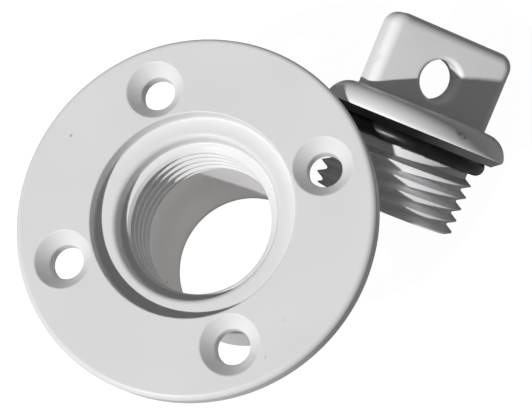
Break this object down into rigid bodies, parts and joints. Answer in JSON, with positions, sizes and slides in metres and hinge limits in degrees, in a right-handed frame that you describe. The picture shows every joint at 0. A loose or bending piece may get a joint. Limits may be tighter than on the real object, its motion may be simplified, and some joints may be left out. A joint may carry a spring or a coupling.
{
  "type": "drain plug",
  "caption": "Round screw-down drain socket with a threaded bore and drain tube, beside its loose screw plug with a flat tab handle and a black rubber seal ring.",
  "frame": {"origin": "on the socket's bore axis at the lower end of its drain tube; the floor the two halves stand and lie on is z = 0", "axes": "+Z along the bore towards the disc's front face; the four screw holes lie on the X and Y axes; the loose plug lies towards -Y"},
  "size_m": [0.055, 0.0802, 0.038],
  "materials": {
    "white_plastic": "smooth moulded, glossy",
    "black_rubber": "smooth, slightly glossy"
  },
  "bodies": {
    "root": {"socket_flange": "white_plastic", "screw_plug": "white_plastic", "o_ring": "black_rubber"}
  },
  "joints": []
}
